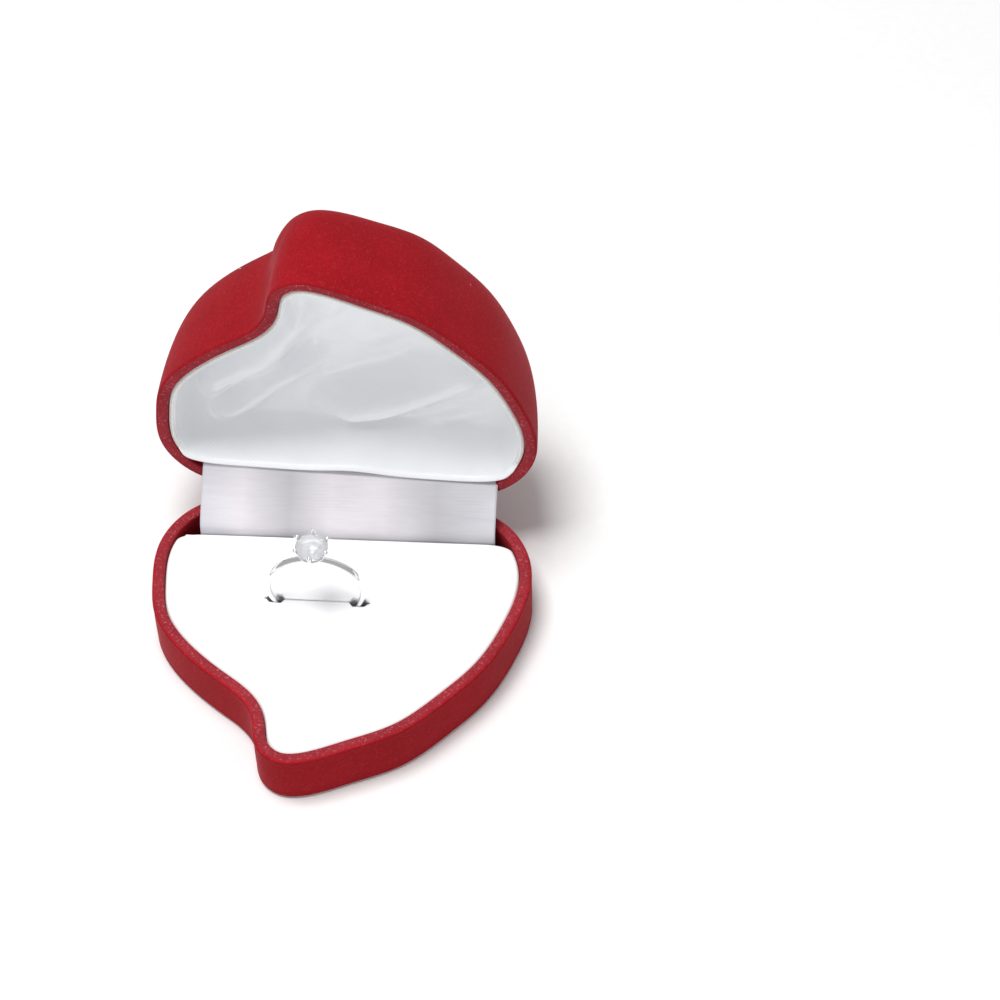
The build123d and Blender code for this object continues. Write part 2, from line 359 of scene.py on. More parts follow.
def rose_height(x, y):
    """A tight spiral bud in the middle and overlapping petals that fall outwards round it."""
    far = np.hypot(x - ROSE[0], y - ROSE[1])
    dx, dy = x - ROSE_HEART[0], (y - ROSE_HEART[1]) * 1.12
    near = np.hypot(dx, dy)
    angle = np.arctan2(dy, dx)
    mix = soft_step(far, 3.0, 8.0)
    radius = near * (1 - mix) + far * mix
    waves = 0.10 * np.sin(3 * angle + 0.6) * soft_step(radius, 4.0, 8.0)
    turns = np.interp(radius, PETAL_RADII, PETAL_TURNS) + waves
    phase = turns - (angle + 0.9) / (2 * math.pi)
    u = phase - np.floor(phase)
    lip = rope(u) * (1 - 0.45 * u)
    depth = np.interp(radius, [0, 2, 6, 9, 12], [0.9, 1.15, 1.5, 1.3, 0.6])
    dome = 2.7 * np.sqrt(np.clip(1 - (far / (ROSE_RADIUS + 0.6)) ** 2.6, 0, 1))
    scallop = ROSE_RADIUS + 0.5 * np.cos(5 * angle + 0.4)
    inside = soft_step(scallop - far, 0.0, 0.8)
    bud = -0.5 * np.exp(-(near / 1.1) ** 2)
    return inside * (dome + depth * (lip - 0.75) + bud)


def leaf_height(x, y, spine, half_width, height, edge):
    """A pointed leaf with a fold along its middle and side veins. It rises to its height over the
    width of its edge."""
    gap, share = polyline_distance(x, y, spine)
    width = half_width * np.sin(math.pi * np.clip(share, 0.0, 1) ** 0.75) ** 0.8 + 0.05
    inside = soft_step(width - gap, 0.0, edge) * (share < 0.999)
    fold = 0.28 * np.exp(-(gap / 0.45) ** 2)
    veins = 0.08 * np.sin(share * 40 - gap * 1.5)
    swell = 0.75 + 0.35 * np.clip(gap / (width + 0.1), 0, 1)
    return inside * (height * swell - fold + veins)


def ridge_height(x, y, spine, half_width, height, fade):
    """A rounded ridge along a line, or a groove where its height is negative, with ends that fade
    over 0.12 and fade more of its length."""
    gap, share = polyline_distance(x, y, spine)
    shape = np.exp(-(gap / half_width) ** 2)
    ends = soft_step(share, 0.0, 0.12 + fade) * soft_step(1 - share, 0.0, 0.12 + fade)
    return height * shape * np.maximum(ends, 0.0)


HEART_TOP = [(-1.0, 19.6), (5.5, 21.8), (13.0, 22.2), (20.0, 18.7), (24.4, 13.0), (26.8, 6.0)]
HEART_GROOVE = [(x - 0.4, y - 2.2) for x, y in HEART_TOP]
HEART_LEFT = [(-20.0, 3.6), (-17.0, 1.3), (-9.2, -4.3), (-1.4, -13.5)]
HEART_RIGHT = [(-1.4, -13.5), (9.7, -8.0), (21.5, -1.5), (26.8, 6.0)]
TAIL_RIDGE = [(-1.4, -13.0), (-6.4, -15.1), (-10.8, -19.2), (-13.4, -24.1), (-14.6, -28.0)]
HOLLOW = [(-33.0, -3.0), (-25.0, -9.0), (-18.5, -13.5), (-15.5, -19.0)]

# Line, half width, height and fade of each ridge and groove.
RIDGES = [
    (HEART_TOP, 1.4, 0.9, 0.1),
    (HEART_GROOVE, 1.3, -0.6, 0.1),
    (HEART_LEFT, 2.2, 1.1, 0.0),
    (HEART_RIGHT, 2.2, 1.1, 0.0),
    (TAIL_RIDGE, 2.4, 1.2, 0.0),
    (HOLLOW, 6.0, -3.4, 0.15),
]

# Middle line, half width, height and edge of each leaf: front right, left and rear.
LEAVES = [
    ([(-8.5, 12.5), (-3.0, 10.2), (1.5, 7.3), (5.8, 4.2)], 3.9, 0.85, 0.55),
    ([(-21.5, 11.5), (-25.0, 5.8), (-26.8, 0.5), (-28.2, -5.0)], 4.6, 1.3, 2.4),
    ([(-7.5, 22.5), (-3.5, 22.2), (1.3, 20.4)], 2.6, 0.7, 0.55),
]


def relief(x, y):
    """How far the lid's relief stands out from its smooth dome."""
    height = np.zeros(x.shape)
    for ridge in RIDGES:
        height += ridge_height(x, y, *ridge)
    for leaf in LEAVES:
        height = np.maximum(height, leaf_height(x, y, *leaf))
    rose = rose_height(x, y)
    return np.where(rose > 0.02, np.maximum(rose, height), height)


# ---- shells ----

def seat_flat(points):
    """The inner rear wall made flat where a hinge leaf is riveted to it, box closed."""
    at_seat = (np.abs(points[:, 0]) < SEAT_HALF_WIDTH) & (points[:, 1] > REAR_Y)
    points[:, 1] = np.where(at_seat, SEAT_Y, points[:, 1])
    return points


def notch_share(curve):
    """1 where the rim is cut back for the hinge, 0 elsewhere."""
    near = 1 - soft_step(np.abs(curve[:, 0]), SEAT_HALF_WIDTH - 0.1, SEAT_HALF_WIDTH + 0.5)
    return near * (curve[:, 1] > REAR_Y)


# How many rows of points each stretch of the base has, from the middle of its foot to its rim. The
# rim's flat top starts four rows up its outer rounding, and the rows just outside it get a painted
# highlight.
FOOT_ROWS = 3
FOOT_ROUND_ROWS = 7
BASE_WALL_ROWS = 12
ROUND_ROWS = 6
ROUND_ROWS_BELOW_TOP = 4
RIM_ROWS = 6
PAINTED_HIGHLIGHT_ROWS = 2
FOOT_ROUNDING = 1.1
WALL_SET_BACK = 0.12
RIM_ROUNDING = 0.6


def row(curve, height):
    return np.column_stack([curve, np.broadcast_to(height, len(curve))])


def rim_rows(edge, level, up, rounding, first_angle):
    """Rows over a rim, from outside to inside. The rim is at level; up is -1 for the base, whose
    roundings fall away below it, and 1 for the lid."""
    rows = []
    for angle in np.linspace(first_angle, math.pi / 2, ROUND_ROWS):
        cut = rounding * (1 - math.cos(angle))
        rows.append(row(inset(edge, cut), level + up * rounding * (1 - math.sin(angle))))
    for angle in np.linspace(math.pi / 2, 0.0, ROUND_ROWS):
        cut = WALL - RIM_ROUNDING * (1 - math.cos(angle))
        rows.append(row(inset(edge, cut), level + up * RIM_ROUNDING * (1 - math.sin(angle))))
    return rows


def base_tray():
    """Rounded foot, upright wall, soft rim, inner wall and floor."""
    edge = periodic_spline(OUTLINE, AROUND)
    notch = BASE_NOTCH * notch_share(edge)
    sole = inset(edge, FOOT_ROUNDING)
    rows = [row(scaled(sole, share), 0.0) for share in (0.3, 0.65, 0.9)]
    for angle in np.linspace(0, math.pi / 2, FOOT_ROUND_ROWS):
        cut = FOOT_ROUNDING * (1 - math.sin(angle))
        rows.append(row(inset(edge, cut + 0.02), FOOT_ROUNDING * (1 - math.cos(angle))))
    for height in np.linspace(1.6, 10.8, BASE_WALL_ROWS):
        bulge = WALL_SET_BACK * math.sin(math.pi * height / BASE_TOP)
        wall = edge - outward(edge) * (WALL_SET_BACK - bulge)
        rows.append(row(wall, height + notch * height / BASE_TOP))
    rows += rim_rows(edge, BASE_TOP + notch, -1, 0.8, 0.15)
    inner = seat_flat(inset(edge, WALL))
    for height in np.linspace(10.6, FLOOR, 6):
        rows.append(row(inner, height))
    rows += [row(scaled(inner, share), FLOOR) for share in (0.85, 0.5, 0.2)]
    rows = np.array(rows)
    floor_middle, foot_middle = [0, CENTRE[1], FLOOR], [0, CENTRE[1], 0]
    tray = swept_solid("base_tray", rows[::-1], floor_middle, foot_middle)
    rim_start = FOOT_ROWS + FOOT_ROUND_ROWS + BASE_WALL_ROWS + ROUND_ROWS_BELOW_TOP
    rim_row = len(rows) - 1 - rim_start
    give_material(tray, 1, rim_row - RIM_ROWS, rim_row)
    # The rows of the outer rounding just below the rim take the brighter flock, a painted highlight
    # along the edge.
    give_material(tray, 2, rim_row, rim_row + PAINTED_HIGHLIGHT_ROWS)
    return tray


def dome_height(y):
    return LID_HEIGHT + LID_SLOPE * np.clip(y, -26, 26) - 2.4 * soft_step(-y, 18, 34)


# How many rows of points the dome has up its wall, round its shoulder and over its crown.
DOME_WALL_ROWS = 24
SHOULDER_ROWS = 16
CROWN_ROWS = 108


def dome_rows(edge, thick):
    """Rows of points up the wall and over the crown, from the rim to the middle."""
    wall = np.linspace(0.03, 0.7, DOME_WALL_ROWS)
    shoulder = np.linspace(0.72, 0.93, SHOULDER_ROWS)
    rises = np.concatenate([wall, shoulder])
    sizes = (1 - rises ** CROWN_ROUND) ** (1 / CROWN_POWER)
    sizes = np.concatenate([sizes, np.linspace(sizes[-1] - 0.008, 0.012, CROWN_ROWS)])
    rows = []
    for size in sizes:
        place = scaled(edge, size)
        rise = (1 - size ** CROWN_POWER) ** (1 / CROWN_ROUND)
        rows.append(row(place, LID_PLANE + (dome_height(place[:, 1]) - thick) * rise))
    return np.array(rows)


def with_relief(rows):
    """The outer rows moved along their normals by the relief, which fades down the wall."""
    along = np.gradient(rows, axis=0)
    across = (np.roll(rows, -1, 1) - np.roll(rows, 1, 1)) / 2
    normal = np.cross(across, along)
    normal /= np.maximum(np.linalg.norm(normal, axis=2), 1e-9)[..., None]
    x, y, z = rows[..., 0], rows[..., 1], rows[..., 2]
    fade = soft_step(z - LID_PLANE, 8.0, 19.0)
    return rows + normal * (relief(x, y) * fade)[..., None]


def lid_dome():
    """The open lid: relief outside, soft rim, hollow inside, cut back at the hinge."""
    edge = periodic_spline(OUTLINE, AROUND)
    notch = LID_NOTCH * notch_share(edge)
    outer = with_relief(dome_rows(edge, 0.0))
    outer[..., 2] += np.clip(1 - (outer[..., 2] - LID_PLANE) / 8, 0, 1) * notch
    rim = rim_rows(edge, LID_PLANE + notch, 1, RIM_ROUNDING, 0.0)
    wall = seat_flat(inset(edge, WALL))
    inner = [row(wall, LID_PLANE + notch * 0.5 + height) for height in (2.5, 4.5, 6.5)]
    inside = dome_rows(inset(edge, WALL), LID_THICK)
    inner += [inside[k] for k in range(18, len(inside), 6)]
    rows = np.concatenate([outer[::-1], np.array(rim), np.array(inner)])
    top = rows[0].mean(0)
    dome = swept_solid("lid_dome", rows, top, inner[-1].mean(0), opened)
    rim_row = len(outer) + ROUND_ROWS_BELOW_TOP
    give_material(dome, 1, rim_row, rim_row + RIM_ROWS)
    return dome


# ---- lid lining ----

LINING_CORNER = 5.0
# Where the ring stands in the pad.
SLIT_X = -4.5
SLIT_Y = 4.6


def lining_rear(x):
    """The lining's rear edge, which was glued in slightly askew."""
    return 23.5 + 0.035 * x


def lining_mouth(cut):
    edge = inset(periodic_spline(OUTLINE, AROUND), WALL + 0.2 + cut)
    return cut_behind(edge, lambda x: lining_rear(x) - cut, LINING_CORNER)


# Folds of the satin seen into the open lid: line, half width, height towards the opening.
FOLDS = [
    ([(-33.0, 15.0), (-27.0, 11.5), (-19.0, 7.8), (-11.5, 0.5), (-6.5, -6.5)], 3.6, 5.6),
    ([(-31.0, 17.4), (-26.5, 15.8), (-20.5, 12.8), (-13.5, 8.9), (-4.0, 1.0), (2.0, -6.5)],
     1.5, -2.4),
    ([(-33.0, 20.2), (-26.4, 18.4), (-21.5, 16.0), (-16.5, 12.6), (-9.4, 9.4), (-2.0, 5.8), (12.0, 1.6)],
     2.6, 4.6),
    ([(-17.0, 16.4), (-6.0, 13.2), (5.0, 10.0), (16.0, 4.0)], 3.6, -1.2),
    ([(-11.0, 18.0), (-1.4, 16.6), (5.6, 15.4), (15.4, 12.0), (22.7, 9.4), (29.0, 7.0)], 3.4, 5.8),
    ([(-9.0, 21.4), (5.5, 20.4), (14.5, 18.6), (26.0, 14.8)], 1.5, -1.2),
    ([(9.0, 22.9), (16.4, 22.2), (23.5, 20.8)], 0.8, -0.5),
    ([(11.0, 21.3), (18.0, 20.4), (26.0, 18.2)], 1.1, 0.5),
    ([(-15.5, -8.0), (-13.0, -3.0), (-14.0, 2.0)], 1.0, -0.8),
    ([(-10.0, -20.0), (-7.5, -12.0), (-1.0, -7.0)], 2.2, 1.2),
    ([(6.0, -10.0), (14.0, -3.0), (24.0, 2.0)], 2.6, 1.3),
]


# Distances from the ring between which the folds fade in, so that they stay clear of its stone.
FOLDS_FADE_IN = (2.0, 10.5)


def folds(x, y):
    """How far the satin stands out towards the opening in its folds and ripples."""
    height = np.zeros(x.shape)
    for spine, half_width, rise in FOLDS:
        height += ridge_height(x, y, spine, half_width, rise, 0.12)
    height *= soft_step(np.hypot(x - SLIT_X, y - SLIT_Y), *FOLDS_FADE_IN)
    ripples = 0.06 * np.sin(0.9 * x + 0.5 * y) + 0.05 * np.sin(0.5 * x - 1.1 * y + 1.0)
    return height + ripples


# Depths from the lid's rim: in front, by the hinge, and the least over the ring's stone.
CUP_DEPTH = 20.2
REAR_DEPTH = 12.2
HEAD_ROOM = 17.6
HEAD_ROOM_FADE = (4.0, 8.0)
# The share of its size that the cup loses from mouth to ceiling.
CUP_LEAN = 0.13
# The card and wadding lie this much deeper than the satin, whose valleys sink at most FOLD_SINK.
CUP_BACKING = 1.9
FOLD_SINK = 0.8


def cup_depth(x, y, cut):
    """How deep the lining lies above the lid's rim: shallower behind, by the hinge."""
    behind = soft_step(y, 4.0, 22.5)
    depth = CUP_DEPTH - (CUP_DEPTH - REAR_DEPTH) * behind
    flank = soft_step(np.abs(x + 1), 20, 36)
    return depth - 1.5 * flank - cut


def soft_limit(value, most):
    """The value, eased off so that it never passes most."""
    return np.where(value > 0, most * np.tanh(value / most), value)


def cup_rows(mouth, cut, folded):
    """Rows from the mouth up the wall and over the ceiling to the middle."""
    shares = np.concatenate([np.linspace(0.06, 0.9, 26), np.linspace(0.93, 1.0, 6)])
    stations = [(1 - CUP_LEAN * (1 - (1 - share ** 2.2) ** 0.5), share) for share in shares]
    stations += [(size, 1.0) for size in np.linspace(1 - CUP_LEAN - 0.012, 0.02, 70)]
    rows = []
    for size, share in stations:
        place = scaled(mouth, size)
        x, y = place[:, 0], place[:, 1]
        depth = cup_depth(x, y, cut)
        if folded:
            depth = depth + soft_limit(-folds(x, y), FOLD_SINK) * share ** 3
        near_ring = 1 - soft_step(np.hypot(x - SLIT_X, y - SLIT_Y), *HEAD_ROOM_FADE)
        depth = np.maximum(depth, near_ring * HEAD_ROOM)
        rows.append(row(place, LID_PLANE + depth * share))
    return rows


# The rolled hem from the wall inwards: distance in from the mouth, height above the lid's rim.
HEM = [
    (0.0, 2.2), (0.0, 0.8), (0.04, 0.3), (0.14, 0.05), (0.28, -0.04), (0.42, 0.0), (0.55, 0.08),
    (0.68, 0.2), (0.8, 0.36), (0.9, 0.52),
]
HEM_WIDTH = 0.95
HEM_SET_BACK = 0.6
SATIN_THICK = 0.25
# The card's and wadding's gap from the satin's mouth, and how far above the lid's rim they end.
LAYER_CLEARANCE = 0.1
LAYER_EDGE = 0.35


def satin_lining():
    """Satin drawn over the card cup: a rolled hem at the mouth, walls and a creased ceiling."""
    rows = []
    for cut, height in HEM:
        mouth = lining_mouth(cut)
        set_back = HEM_SET_BACK * (1 - soft_step(mouth[:, 1], 17.0, 21.0))
        rows.append(row(mouth, LID_PLANE + height + set_back))
    rows += cup_rows(lining_mouth(HEM_WIDTH), 0.0, True)
    return closed_sheet("satin_lining", np.array(rows), SATIN_THICK)


def closed_sheet(name, rows, thickness):
    """A cup of cloth in the lid: rows of points closed round, both faces, joined at the edge."""
    along = np.gradient(rows, axis=0)
    across = (np.roll(rows, -1, 1) - np.roll(rows, 1, 1)) / 2
    normal = np.cross(across, along)
    normal /= np.maximum(np.linalg.norm(normal, axis=2), 1e-9)[..., None]
    front = rows + normal * thickness / 2
    back = rows - normal * thickness / 2
    solid = np.concatenate([front[::-1], back])
    return swept_solid(name, solid, front[-1].mean(0), back[-1].mean(0), opened)


def cup_layer(name, outer_cut, thickness):
    """The card cup or the wadding, between the lid's hollow and the satin."""
    outer_mouth = lining_mouth(LAYER_CLEARANCE + outer_cut)
    inner_mouth = lining_mouth(LAYER_CLEARANCE + outer_cut + thickness)
    outer = cup_rows(outer_mouth, outer_cut - CUP_BACKING, False)
    inner = cup_rows(inner_mouth, outer_cut + thickness - CUP_BACKING, False)
    edge = [row(mouth, LID_PLANE + LAYER_EDGE) for mouth in (inner_mouth, outer_mouth)]
    rows = np.array(inner[::-4] + edge + outer[::4])
    return swept_solid(name, rows, rows[0].mean(0), rows[-1].mean(0), opened)


# ---- ring pad ----

SLIT_HALF_LENGTH = 10.2
SLIT_HALF_WIDTH = 1.2
PAD_TOP = 11.3
PAD_ROUNDING = 0.9
PAD_CORNER = 4.0
PAD_TUCK = 1.6


def pad_rear(x):
    return 20.55 + 0.021 * x


def pad_edge(cut):
    edge = inset(periodic_spline(OUTLINE, AROUND), WALL + 0.12 + cut)
    return cut_behind(edge, lambda x: pad_rear(x) - cut, PAD_CORNER)


def slit_edge(edge, widen, lips=False):
    """The slit's rounded outline, point for point opposite the pad's edge. The lips meet except
    where the band goes in."""
    angle = np.arctan2(edge[:, 1] - SLIT_Y, edge[:, 0] - SLIT_X)
    half_length = SLIT_HALF_LENGTH + widen
    half_width = SLIT_HALF_WIDTH + widen
    c, s = np.cos(angle), np.sin(angle)
    power = 6
    reach = ((np.abs(c) / half_length) ** power + (np.abs(s) / half_width) ** power) ** (-1 / power)
    across = reach * s
    if lips:
        off = np.abs(reach * c)
        gap = soft_step(off, 6.2, 7.0) * (1 - 0.75 * soft_step(off, 9.3, 9.9))
        across = across * (0.10 + 0.72 * gap)
    return np.stack([SLIT_X + reach * c, SLIT_Y + across], -1)


def pad_crown(place, outer):
    """The velvet's top: slightly crowned, dipping a little to the slit."""
    x, y = place[:, 0], place[:, 1]
    edge_angle = np.arctan2(outer[:, 1] - SLIT_Y, outer[:, 0] - SLIT_X)
    edge_reach = np.hypot(outer[:, 1] - SLIT_Y, outer[:, 0] - SLIT_X)
    angle = np.arctan2(y - SLIT_Y, x - SLIT_X)
    edge = np.interp(angle, edge_angle, edge_reach, period=2 * math.pi)
    out = np.hypot(x - SLIT_X, y - SLIT_Y) / edge
    waves = 0.05 * np.sin(0.31 * x + 0.2 * y) + 0.04 * np.sin(0.27 * y - 0.4 * x)
    inner = 1 - soft_step(out, 0.8, 0.97)
    return PAD_TOP + 0.25 * (1 - out ** 4) + waves * inner


def velvet_pad():
    """White velvet over foam: tucked at its edges, open at the slit."""
    rows = [row(pad_edge(PAD_TUCK), 1.75), row(pad_edge(0.4), 1.75), row(pad_edge(0.02), 2.2)]
    rows += [row(pad_edge(0.0), height) for height in (4.0, 7.0, 9.0, 10.0)]
    for angle in np.linspace(0.2, math.pi / 2, 7):
        cut = PAD_ROUNDING * (1 - math.cos(angle))
        drop = PAD_ROUNDING * (1 - math.sin(angle)) + 0.02
        rows.append(row(pad_edge(cut), PAD_TOP - drop))
    outer = pad_edge(PAD_ROUNDING)
    mouth = slit_edge(outer, 0.3)
    closed = slit_edge(outer, 0.15, lips=True)
    for share in np.linspace(0.03, 1.0, 56):
        place = outer * (1 - share) + mouth * share
        rows.append(row(place, pad_crown(place, outer)))
    for share in (0.35, 0.7, 1.0):
        place = mouth * (1 - share) + closed * share
        rows.append(row(place, pad_crown(place, outer)))
    for widen, drop in ((0.05, 0.0), (0.0, 0.3)):
        rows.append(row(slit_edge(outer, widen, lips=True), PAD_TOP - drop))
    low = slit_edge(outer, 0.0)
    rows += [row(low, PAD_TOP - drop) for drop in (0.8, 2.5, 6.4)]
    rows.append(row((low + pad_edge(PAD_TUCK)) / 2, 3.25))
    rows = np.array(rows)
    around = rows.shape[1]
    points = rows.reshape(-1, 3)
    faces = ring_faces(len(rows), around)
    tail = (len(rows) - 1) * around
    for i in range(around):
        k = (i + 1) % around
        faces.append((tail + i, tail + k, k, i))
    return mesh_object("velvet_pad", points, faces)


# ---- hinge strip ----

STRIP_X = (-29.6, 28.8)
STRIP_LID_END = 16.4


def strip_path(x):
    """The strip's middle line at x: up behind the pad, a slack bow, then into the lid."""
    skew = 0.021 * x
    lid_y = 24.05 + 0.03 * x
    foot = [(21.0 + skew, 5.0), (21.0 + skew, 8.0), (21.0 + skew, 11.0)]
    bow = [(21.6 + skew, 13.2), (24.6 + skew, 16.0)]
    turned = opened(np.array([[x, lid_y, 12.4], [x, lid_y, 14.4], [x, lid_y, STRIP_LID_END]]))
    points = foot + bow + [(p[1], p[2]) for p in turned]
    return open_spline(points, 90)


def hinge_strip():
    """The satin ribbon that covers the hinge, with slight slack waves."""
    columns = []
    for x in np.linspace(STRIP_X[0], STRIP_X[1], 130):
        path = strip_path(x)
        along = np.gradient(path, axis=0)
        along /= np.linalg.norm(along, axis=1)[:, None]
        t = np.linspace(0, 1, len(path))
        slack = np.sin(math.pi * np.clip((t - 0.25) / 0.5, 0, 1)) ** 2
        wave = 0.28 * np.sin(0.21 * x + 4 * t) + 0.16 * np.sin(0.47 * x - 3 * t + 1)
        bulge = slack * (wave - 0.1)
        y = path[:, 0] - along[:, 1] * bulge
        z = path[:, 1] + along[:, 0] * bulge
        columns.append(np.column_stack([np.full(len(path), x), y, z]))
    return sheet_solid("hinge_strip", np.array(columns), 0.26)


# ---- ring: the hoop's middle, its radius, and the stone's girdle ----

RING = np.array([-4.5, 4.6, 15.4])
RING_MIDDLE = 9.15
GIRDLE_Z = 28.3
STONE_RADIUS = 3.2
TABLE_RADIUS = 1.8


def ring_hoop():
    """A slim comfort-fit band whose shoulders narrow towards the head."""
    sides = 20
    steps = 220
    half_thick = 0.58
    points = []
    for i in range(steps):
        angle = 2 * math.pi * i / steps
        top = max(0.0, math.sin(angle)) ** 3
        half_width = 0.9 - 0.22 * top
        for k in range(sides):
            turn = 2 * math.pi * k / sides
            across = half_width * np.sign(math.cos(turn)) * abs(math.cos(turn)) ** 0.75
            out = half_thick * np.sign(math.sin(turn)) * abs(math.sin(turn)) ** 0.85
            radius = RING_MIDDLE + out
            side, up = radius * math.cos(angle), radius * math.sin(angle)
            points.append([RING[0] + side, RING[1] + across, RING[2] + up])
    faces = [face[::-1] for face in torus_faces(steps, sides)]
    return mesh_object("ring_hoop", np.array(points), faces)


def prong_part(angle):
    """One prong, from the collar out past the girdle and bent in over the crown."""
    out = np.array([math.cos(angle), math.sin(angle), 0.0])
    middle = np.array([RING[0], RING[1], 0.0])
    stations = [
        (1.25, 25.0), (1.55, 25.7), (2.25, 26.8), (2.95, 27.7), (3.5, 28.4), (3.52, 28.85),
        (3.3, 29.15), (3.0, 29.22),
    ]
    radii = [0.34, 0.36, 0.36, 0.36, 0.4, 0.44, 0.4, 0.2]
    path = [middle + out * reach + np.array([0, 0, z]) for reach, z in stations]
    return round_tube(path, radii)


def torus_part(radius, thick, z, steps=72, sides=12):
    points = []
    for i in range(steps):
        angle = 2 * math.pi * i / steps
        for k in range(sides):
            turn = 2 * math.pi * k / sides
            reach = radius + thick * math.cos(turn)
            points.append([
                RING[0] + reach * math.cos(angle), RING[1] + reach * math.sin(angle),
                z + thick * math.sin(turn),
            ])
    return np.array(points), torus_faces(steps, sides)


def ring_head():
    """Collar, two gallery rings and six prongs bent over the stone."""
    collar = round_tube(
        [RING + (0, 0, 9.35), RING + (0, 0, 9.7), RING + (0, 0, 10.1), RING + (0, 0, 10.35)],
        [1.2, 1.45, 1.5, 1.3], 40,
    )
    parts = [collar, torus_part(2.45, 0.3, GIRDLE_Z - 1.6), torus_part(1.75, 0.28, GIRDLE_Z - 2.6)]
    parts += [prong_part(math.radians(30 + 60 * i)) for i in range(6)]
    points, faces = merged(parts)
    return mesh_object("ring_head", points, faces)


def ring_gem():
    """A round brilliant: table, star, kite and girdle facets over a faceted pavilion."""
    def circle(count, radius, z, shift=0.0):
        return [
            (RING[0] + radius * math.cos(2 * math.pi * (i + shift) / count),
             RING[1] + radius * math.sin(2 * math.pi * (i + shift) / count), z)
            for i in range(count)
        ]
    levels = [
        circle(8, TABLE_RADIUS, GIRDLE_Z + 1.0), circle(8, 2.55, GIRDLE_Z + 0.62, 0.5),
        circle(16, STONE_RADIUS, GIRDLE_Z + 0.1), circle(16, STONE_RADIUS, GIRDLE_Z - 0.1),
        circle(8, 0.9, GIRDLE_Z - 1.9, 0.5), [(RING[0], RING[1], GIRDLE_Z - 2.6)],
    ]
    points = np.array([p for level in levels for p in level])
    table, star, high, low, deep, culet = 0, 8, 16, 32, 48, 56
    faces = [tuple(range(8))]
    for i in range(8):
        n = (i + 1) % 8
        faces.append((table + i, star + i, table + n))
        before = star + (i - 1) % 8
        faces.append((table + i, before, high + 2 * i, star + i))
        faces.append((star + i, high + 2 * i, high + 2 * i + 1))
        faces.append((star + i, high + 2 * i + 1, high + (2 * i + 2) % 16))
        faces.append((low + 2 * i, deep + (i - 1) % 8, deep + i))
        faces.append((low + 2 * i, deep + i, low + 2 * i + 1))
        faces.append((low + 2 * i + 1, deep + i, low + (2 * i + 2) % 16))
        faces.append((deep + i, deep + (i - 1) % 8, culet))
    for i in range(16):
        n = (i + 1) % 16
        faces.append((high + i, low + i, low + n, high + n))
    return mesh_object("ring_gem", points, faces, smooth=False)


# ---- lint: stray fibres on the base's wall, and on the lid's crown and upper wall ----

BASE_LINT_ROWS = (22, 31)
LID_LINT_ROWS = (60, 138)


def lint_part(place, length, direction):
    """One stray white fibre, slightly curled."""
    direction = direction / np.linalg.norm(direction)
    side = np.cross(direction, [0.3, 0.5, 0.8])
    side /= np.linalg.norm(side)
    path = [
        place + direction * length * t + side * length * 0.3 * math.sin(math.pi * t)
        for t in np.linspace(0, 1, 9)
    ]
    return round_tube(path, [0.04] * len(path), 6)


def lint_on(name, piece, rows, count, shortest, longest):
    """Stray fibres lying on a shell's outside, between two of its rows of faces."""
    mesh = piece.data
    picks = RANDOM.integers(rows[0] * AROUND, rows[1] * AROUND, count)
    parts = []
    for pick in picks:
        polygon = mesh.polygons[int(pick)]
        normal = np.array(polygon.normal)
        place = np.array(polygon.center) / MM + normal * 0.08
        along = np.cross(normal, RANDOM.normal(size=3))
        parts.append(lint_part(place, RANDOM.uniform(shortest, longest), along))
    points, faces = merged(parts)
    return mesh_object(name, points, faces)


# ---- materials ----

def new_material(name):
    material = bpy.data.materials.new(name)
    material.use_nodes = True
    nodes = material.node_tree.nodes
    return material, nodes, material.node_tree.links, nodes["Principled BSDF"]


def set_inputs(shader, **values):
    for key, value in values.items():
        shader.inputs[key.replace("_", " ")].default_value = value


def coordinates(nodes, links, scale=(1, 1, 1), turn=(0, 0, 0)):
    source = nodes.new("ShaderNodeTexCoord")
    mapping = nodes.new("ShaderNodeMapping")
    mapping.inputs["Scale"].default_value = scale
    mapping.inputs["Rotation"].default_value = turn
    links.new(source.outputs["Object"], mapping.inputs["Vector"])
    return mapping.outputs["Vector"]


def noise(nodes, links, vector, size_mm, detail=4.0, rough=0.6):
    texture = nodes.new("ShaderNodeTexNoise")
    texture.inputs["Scale"].default_value = 1 / (size_mm * MM)
    texture.inputs["Detail"].default_value = detail
    texture.inputs["Roughness"].default_value = rough
    links.new(vector, texture.inputs["Vector"])
    return texture.outputs["Fac"]


def bands(nodes, links, vector, pitch_mm, direction="X", distortion=0.4):
    texture = nodes.new("ShaderNodeTexWave")
    texture.bands_direction = direction
    texture.inputs["Scale"].default_value = 0.314 / (pitch_mm * MM)
    texture.inputs["Distortion"].default_value = distortion
    texture.inputs["Detail"].default_value = 1.0
    links.new(vector, texture.inputs["Vector"])
    return texture.outputs["Fac"]


def along_x(nodes, links, vector, ends):
    """0 to 1 along X between two ends in millimetres."""
    split = nodes.new("ShaderNodeSeparateXYZ")
    spread = nodes.new("ShaderNodeMapRange")
    spread.inputs["From Min"].default_value = ends[0] * MM
    spread.inputs["From Max"].default_value = ends[1] * MM
    links.new(vector, split.inputs[0])
    links.new(split.outputs["X"], spread.inputs["Value"])
    return spread.outputs["Result"]


def ramp(nodes, links, value, stops):
    node = nodes.new("ShaderNodeValToRGB")
    elements = node.color_ramp.elements
    for k, (place, colour) in enumerate(stops):
        element = elements[k] if k < 2 else elements.new(place)
        element.position = place
        element.color = (*colour, 1)
    links.new(value, node.inputs["Fac"])
    return node.outputs["Color"]


def greys(nodes, links, value, low, high):
    """A ramp from one grey to another over the middle of a noise."""
    return ramp(nodes, links, value, [(0.3, (low,) * 3), (0.7, (high,) * 3)])


